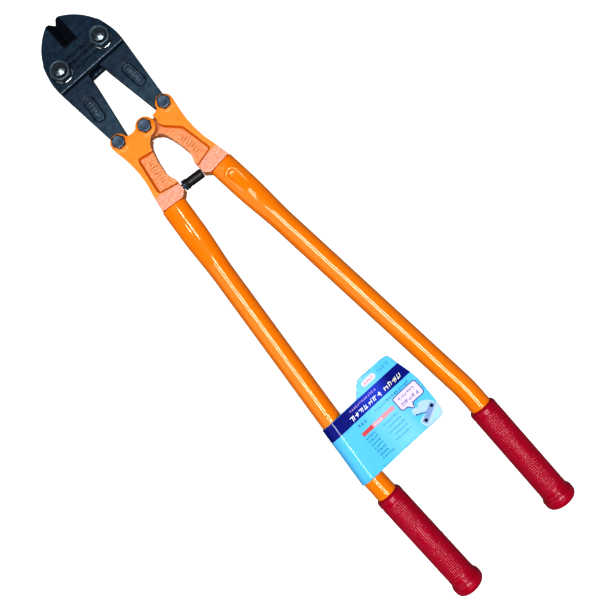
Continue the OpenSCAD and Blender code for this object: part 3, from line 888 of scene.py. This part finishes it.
def build_stop(rubber, steel):
    """Moulded bumper on its screw. Its axis runs from STOP_START, square to the left tube."""
    nose = BUMPER_NOSE
    profile = [(0, 14.2), (3.1, 14.2), (3.1, 5.5), (3.4, 5.3), (5.9, 5.3), (6.2, 5.6), (6.1, 6.6),
               (5.5, 7.6), (5.15, 9.2), (5.3, 11.5), (5.4, 14), (5.4, nose - 2), (5.3, nose - 1.2),
               (4.9, nose - 0.4), (4.2, nose), (0, nose)]
    piece = turned("stop_bumper_finish", lambda angle: profile, (0, 0, 0), 72, closed=False)
    turn = Matrix.Translation(STOP_START * MM) @ Matrix.Rotation(-SPLAY, 4, "Z") @ Matrix.Rotation(
        math.pi / 2, 4, "Y")
    piece.data.transform(turn)
    install(piece, "stop_bumper", rubber)
    piece = hex_nut("stop_lock_nut_finish", LOCK_NUT_HEX, LOCK_NUT_HEIGHT, LOCK_NUT_BORE,
                    (0, 0, LOCK_NUT_START))
    piece.data.transform(turn)
    install(piece, "stop_lock_nut", steel)
    screw = frame["nodes"]["stop_screw"]
    screw.data.materials.clear()
    screw.data.materials.append(steel)


# ---- Sales card ----

# The flat card before it is wrapped around the left tube, in tool coordinates
CARD_OUTLINE = ((-130, -147), (-27.5, -144), (-25.6, -142.6), (-16.2, -132), (-12.6, -129.2),
                (-9, -128.3), (23, -128.3), (28.2, -129.3), (30.7, -132.4), (32.5, -142.5),
                (36.4, -159.3), (37.9, -171), (37.4, -189), (35.9, -210.5), (34.6, -214.2),
                (31.6, -216.3), (28, -217), (-130, -221))
CARD_R = TUBE_R + CARD_GAP + 0.6
AXIS = Vector((-math.sin(SPLAY), -math.cos(SPLAY)))
ACROSS = Vector((math.cos(SPLAY), -math.sin(SPLAY)))
SLEEVE_START = Vector((-TUBE_START_X, TUBE_START_Y))
SEAM = -2 * math.pi * CARD_R * 0.97
PRINT_TILT = 0.025


def unrolled(point):
    """Distances of a point of the flat card across and along the left tube."""
    off = Vector(point[:2]) - SLEEVE_START
    return off.dot(ACROSS), off.dot(AXIS)


def fold(point, lift):
    """Place of a point of the flat card once it is wrapped around the left tube."""
    across, along = unrolled(point)
    r = CARD_R + lift
    if across < 0:
        sideways, up = r * math.sin(across / CARD_R), r * math.cos(across / CARD_R)
    else:
        sideways, up = across, r + 0.022 * across ** 2 / 54
    up += 0.25 * math.sin(along / 23 + across / 31) * min(1, max(0, across / 30))
    return (*(SLEEVE_START + along * AXIS + sideways * ACROSS), MID_Z + up)


def cut_sheet(name, outlines, lift, material):
    """Sheet with the given outlines, cut into strips and folded around the tube."""
    work = bmesh.new()
    for outline in outlines:
        turns = sum(p[0] * q[1] - q[0] * p[1] for p, q in zip(outline, outline[1:] + outline[:1]))
        points = outline if turns > 0 else outline[::-1]
        work.faces.new([work.verts.new((x, y, 0)) for x, y in points])
    spans = [unrolled(v.co)[0] for v in work.verts]
    runs = [unrolled(v.co)[1] for v in work.verts]
    cuts = [(k * 1.3, ACROSS) for k in range(math.floor(max(min(spans), SEAM) / 1.3), 3)]
    cuts += [(k * 4.0, ACROSS) for k in range(1, math.ceil(max(spans) / 4))]
    cuts += [(k * 4.0, AXIS) for k in range(int(min(runs) / 4), math.ceil(max(runs) / 4))]
    for distance, normal in cuts + [(SEAM, ACROSS)]:
        place = SLEEVE_START + distance * normal
        bmesh.ops.bisect_plane(work, geom=work.verts[:] + work.edges[:] + work.faces[:], dist=1e-5,
                               plane_co=(*place, 0), plane_no=(*normal, 0),
                               clear_inner=distance == SEAM)
    for vert in work.verts:
        vert.co = Vector(fold(vert.co, lift)) * MM
    for face in work.faces:
        face.smooth = True
    mesh = bpy.data.meshes.new(name)
    work.to_mesh(mesh)
    work.free()
    mesh.materials.append(material)
    piece = bpy.data.objects.new(name, mesh)
    bpy.context.scene.collection.objects.link(piece)
    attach(piece, "sales_card")
    return piece


def tilted(points):
    return tuple((x, y + PRINT_TILT * (x + 10)) for x, y in points)


def bar(x0, y0, x1, y1, r=0.0):
    """Rectangle, with rounded corners where r is given."""
    corners = ((x1 - r, y1 - r, 0), (x0 + r, y1 - r, 90), (x0 + r, y0 + r, 180),
               (x1 - r, y0 + r, 270))
    angles = [(cx, cy, math.radians(first + 18 * k)) for cx, cy, first in corners
              for k in range(6 if r else 1)]
    return tilted((cx + r * math.cos(angle), cy + r * math.sin(angle)) for cx, cy, angle in angles)


def disc(x, y, r):
    return tuple((x + r * math.cos(math.pi * k / 12), y + r * math.sin(math.pi * k / 12))
                 for k in range(24))


def strokes(x0, x1, y, height, seed, slant=0.0):
    """Row of meaningless short strokes, which stands for a line of print."""
    rng = np.random.default_rng(seed)
    weight = max(0.45, height * 0.14)
    out = []
    x = x0
    while x < x1 - height * 0.6:
        width = height * rng.uniform(0.55, 0.85)
        for cut in rng.choice([0.12, 0.5, 0.88], 2, replace=False):
            low, high = sorted(rng.uniform(0, 1, 2) * 0.3 + (0.0, 0.7))
            cx = x + width * cut
            out.append(tilted(((cx + slant * low * height, y + low * height),
                               (cx + weight + slant * low * height, y + low * height),
                               (cx + weight + slant * high * height, y + high * height),
                               (cx + slant * high * height, y + high * height))))
        level = y + height * rng.choice([0.2, 0.5, 0.75])
        lean = slant * (level - y)
        out.append(tilted(((x + lean, level), (x + width + lean, level),
                           (x + width + lean, level + weight), (x + lean, level + weight))))
        x += width + height * 0.3
    return out


def build_card():
    # The sky's paler middle is a painted glare.
    sky = print_ink("card_sky", (0.1, 0.43, 0.7), (0.19, 0.52, 0.72))
    base = cut_sheet("sales_card_finish", [CARD_OUTLINE], 0.0, sky)
    thick = base.modifiers.new("thick", "SOLIDIFY")
    thick.thickness = 0.6 * MM
    thick.offset = -1
    apply_modifiers(base)
    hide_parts("sales_card")

    band = ((-130, -147.1), (-27.5, -144.4), (32.6, -143.3), (36.3, -159.4), (-130, -163.9))
    bubble = bar(2.5, -186, 33.5, -169.6, 2.5)
    edge = bar(1.6, -186.9, 34.4, -168.7, 3.4)
    tail = ((9, -185), (16.5, -185), (14.2, -191))
    tail_edge = ((7.8, -185), (17.9, -185), (14.2, -192.8))
    notch = ((7.4, -197), (11, -200), (20.5, -203.2), (11.5, -205), (7.6, -208.5))
    notch_edge = ((9.8, -197.6), (20.5, -202.4), (20.8, -203.6), (9.6, -199.2))
    blades = ((21, -213.5), (33.5, -208.5), (34.2, -210), (21.8, -215))
    plate = ((10.4, -208.6), (13.3, -213.8), (34, -202.5), (31, -197.3))
    picture = ((9.3, -192), (13.5, -190.8), (17, -193.5), (20, -190), (24.5, -190.3), (29.5, -193),
               (34, -198.5), (36, -204), (35.7, -210), (34.4, -213.8), (31.6, -215.6),
               (28, -216.3), (11.5, -216.4), (9, -210), (8.4, -203), (8.7, -197))
    small = []
    for k in range(7):
        small += strokes(-47, -32.5 - (k % 3), -183.6 - 4.5 * k, 2.6, 20 + k)
    faint = strokes(-20, -5, -168, 3.2, 40)
    for k in range(5):
        faint += strokes(-24 + 3 * (k % 2), -1, -185 - 5.2 * k, 2.4, 41 + k)
    prints = (
        ("card_pill", 0.03, (0.7, 0.55, 0.66), [bar(-12, -139.6, 6.2, -133.4, 3)]),
        ("card_pill_marks", 0.06, (0.62, 0.16, 0.22), strokes(-9.6, 4, -138.4, 3.6, 1)),
        ("card_tab_marks", 0.03, (0.04, 0.24, 0.42), strokes(9.8, 25.5, -138.8, 4.2, 2)),
        ("card_band_small", 0.06, (0.5, 0.34, 0.62), strokes(-41, -3, -150, 2.9, 3)),
        ("card_band_large", 0.06, (0.74, 0.76, 0.8), strokes(-47, -2, -159, 6.2, 4, 0.25)),
        ("card_band_right", 0.06, (0.74, 0.74, 0.5), strokes(2, 29, -158.5, 6.2, 5, 0.25)),
        ("card_teal_marks", 0.03, (0.01, 0.13, 0.26),
         strokes(-45, -32, -168.6, 4.0, 6) + strokes(-4, 30.5, -168, 3.6, 7)),
        ("card_red_bar", 0.03, (0.5, 0.07, 0.08), [bar(-47, -178.6, -32.5, -174)]),
        ("card_pink_bar", 0.03, (0.66, 0.27, 0.32), [bar(-32.5, -178.6, -2, -174)]),
        ("card_bar_marks", 0.06, (0.78, 0.72, 0.8), strokes(-30, -17, -177.8, 3, 8)),
        ("card_small_marks", 0.03, (0.01, 0.12, 0.2), small),
        ("card_faint_marks", 0.03, (0.04, 0.28, 0.5), faint),
        ("card_bubble_edge", 0.03, (0.03, 0.04, 0.15), [edge, tail_edge]),
        ("card_bubble", 0.06, (0.58, 0.52, 0.76), [bubble, tail]),
        ("card_bubble_marks", 0.09, (0.12, 0.07, 0.22),
         strokes(7, 30, -176, 3.4, 9) + strokes(6, 31, -183.4, 4.4, 10)),
        ("card_picture", 0.03, (0.36, 0.5, 0.76), [picture]),
        ("card_picture_notch", 0.06, (0.1, 0.45, 0.72), [notch]),
        ("card_picture_edge", 0.09, (0.03, 0.12, 0.22), [notch_edge]),
        ("card_picture_blades", 0.06, (0.22, 0.6, 0.58), [blades]),
        ("card_picture_plate", 0.06, (0.2, 0.3, 0.5), [plate]),
        ("card_picture_bolts", 0.09, (0.004, 0.01, 0.02),
         [disc(14.7, -209.8, 1.9), disc(29.5, -201.4, 1.9)]))
    # The band's paler middle is a painted glare.
    deep_blue = print_ink("card_band", (0.003, 0.007, 0.17), (0.03, 0.06, 0.45))
    cut_sheet("card_band", [band], 0.03, deep_blue)
    for name, lift, color, outlines in prints:
        cut_sheet(name, outlines, lift, print_ink(name, color))


# ---- Stage ----

# The lamps are measured in metres and watts
STRIP_HEIGHT = 1.9
STRIP_SIZE = (0.17, 1.45)
STRIP_Y = -0.245
STRIP_POWER = 19.5
KEY_SIZE = (1.0, 2.4)
KEY_POWER = 6
SKY_AT_HORIZON = 0.18
SKY_OVERHEAD = 0.05
BACKDROP = 0.62         # brightness of the sky where the camera sees it directly
FLOOR_GLOW = 0.55
FLOOR_REACH = 6000      # from the middle of the floor to its edges, in millimetres


def area_light(name, place, aim, size, power):
    data = bpy.data.lights.new(name, "AREA")
    data.shape = "RECTANGLE"
    data.size, data.size_y = size
    data.energy = power
    light = bpy.data.objects.new(name, data)
    bpy.context.scene.collection.objects.link(light)
    light.location = place
    light.rotation_euler = (Vector(aim) - Vector(place)).to_track_quat("-Z", "Y").to_euler()
    light.visible_camera = False


def build_stage():
    """Pale floor and backdrop, a dim sky, two strips overhead and a weak key lamp."""
    world = bpy.data.worlds.new("studio")
    bpy.context.scene.world = world
    world.use_nodes = True
    tree = world.node_tree
    background = tree.nodes["Background"]
    split = tree.nodes.new("ShaderNodeSeparateXYZ")
    fade = tree.nodes.new("ShaderNodeMapRange")
    tree.links.new(tree.nodes.new("ShaderNodeTexCoord").outputs["Generated"], split.inputs[0])
    tree.links.new(split.outputs["Z"], fade.inputs["Value"])
    for name, number in zip(("From Min", "From Max", "To Min", "To Max"),
                            (0.0, 0.6, SKY_AT_HORIZON, SKY_OVERHEAD)):
        fade.inputs[name].default_value = number
    seen = tree.nodes.new("ShaderNodeMix")
    light_path = tree.nodes.new("ShaderNodeLightPath")
    tree.links.new(light_path.outputs["Is Camera Ray"], seen.inputs["Factor"])
    tree.links.new(fade.outputs["Result"], seen.inputs[2])
    seen.inputs[3].default_value = BACKDROP
    tree.links.new(seen.outputs[0], background.inputs["Strength"])
    background.inputs["Color"].default_value = (1, 1, 1, 1)

    reach = FLOOR_REACH
    floor = make_object("floor", [(-reach, -reach, 0), (reach, -reach, 0), (reach, reach, 0),
                                  (-reach, reach, 0)], [(0, 1, 2, 3)])
    s = Shader("floor", (0.6, 0.6, 0.6), 0.8)
    s.surface.inputs["Emission Color"].default_value = (1, 1, 1, 1)
    s.surface.inputs["Emission Strength"].default_value = FLOOR_GLOW
    floor.data.materials.append(s.material)
    floor.visible_diffuse = False
    floor.visible_glossy = False

    for name, x in (("overhead_left", -0.36), ("overhead_right", 0.28)):
        area_light(name, (x, STRIP_Y, STRIP_HEIGHT), (x, STRIP_Y, 0), STRIP_SIZE, STRIP_POWER)
    area_light("key", (-1.3, 0.0, 1.2), (0, 0, 0), KEY_SIZE, KEY_POWER)


CAMERA_DISTANCE = 800       # above the tool's mid-plane
VIEW_WIDTH = 657            # of the tool's mid-plane, across the frame
CAMERA_TURN = math.radians(-41.8)


def build_camera():
    """Straight above the tool, turned so that it lies across the frame from corner to corner."""
    distance = CAMERA_DISTANCE * MM
    view_width = VIEW_WIDTH * MM
    data = bpy.data.cameras.new("camera")
    data.sensor_width = 36
    data.lens = 36 * distance / view_width
    data.clip_start = 0.01
    camera = bpy.data.objects.new("camera", data)
    bpy.context.scene.collection.objects.link(camera)
    camera.location = (-0.3 * MM, -23.5 * MM, MID_Z * MM + distance)
    camera.rotation_euler = (0, 0, CAMERA_TURN)
    bpy.context.scene.camera = camera


build_camera()
build_stage()
jaw_steel = forged_steel("forged_steel", (0.006, 0.018, 0.036), (0.013, 0.034, 0.06))
plate_steel = forged_steel("plate_steel", (0.003, 0.015, 0.03), (0.008, 0.03, 0.054))
nut = nut_steel("nut_steel", 0.35, (0.045, 0.07, 0.095), (0.07, 0.1, 0.13), 0.38)
thread_end = nut_steel("bolt_steel", 0.85, (0.09, 0.115, 0.135), (0.2, 0.24, 0.27), 0.27)
bright = bright_steel()
build_head(jaw_steel, plate_steel, nut, thread_end, bright)
build_handle_heads(casting_paint())
plated = pivot_steel()
build_pivots(plated)
build_handles(tube_paint(), grip_vinyl())
build_stop(stop_rubber(), plated)
build_card()
bpy.context.scene.view_settings.view_transform = "Standard"
bpy.context.scene.view_settings.look = "High Contrast"
